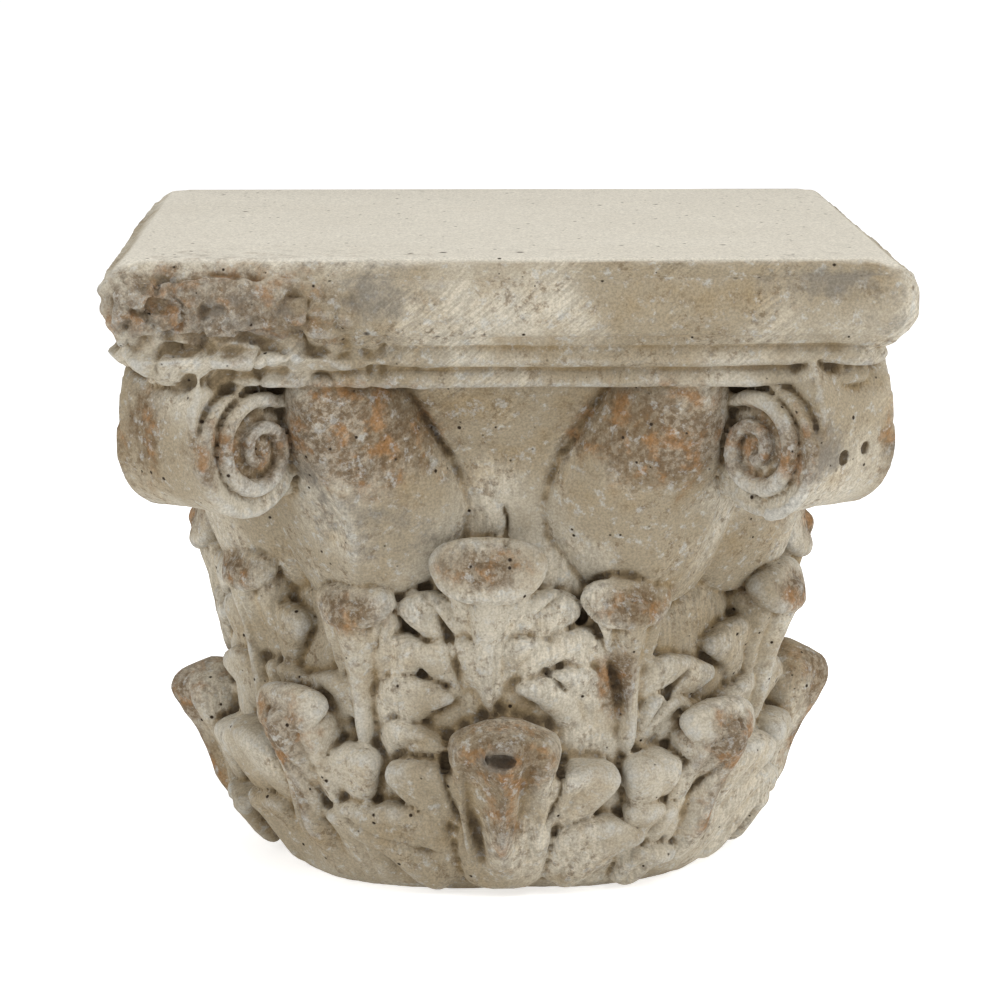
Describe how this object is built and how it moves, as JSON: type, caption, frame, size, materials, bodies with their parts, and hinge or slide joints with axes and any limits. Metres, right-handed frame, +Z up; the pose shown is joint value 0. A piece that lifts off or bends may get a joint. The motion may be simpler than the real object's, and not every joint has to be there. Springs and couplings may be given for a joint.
{
  "type": "corinthian capital",
  "caption": "Square-topped stone capital with corner volutes over two rows of curled leaves on a round foot; stands alone as a pedestal or ornament.",
  "frame": {"origin": "centre of the round foot's underside, on the surface the capital stands on", "axes": "+Z up from the foot to the abacus, -Y out of the front face, +X to the right of the front face"},
  "size_m": [0.302, 0.302, 0.255],
  "materials": {
    "stone": "matte"
  },
  "bodies": {
    "root": {"capital": "stone"}
  },
  "joints": []
}
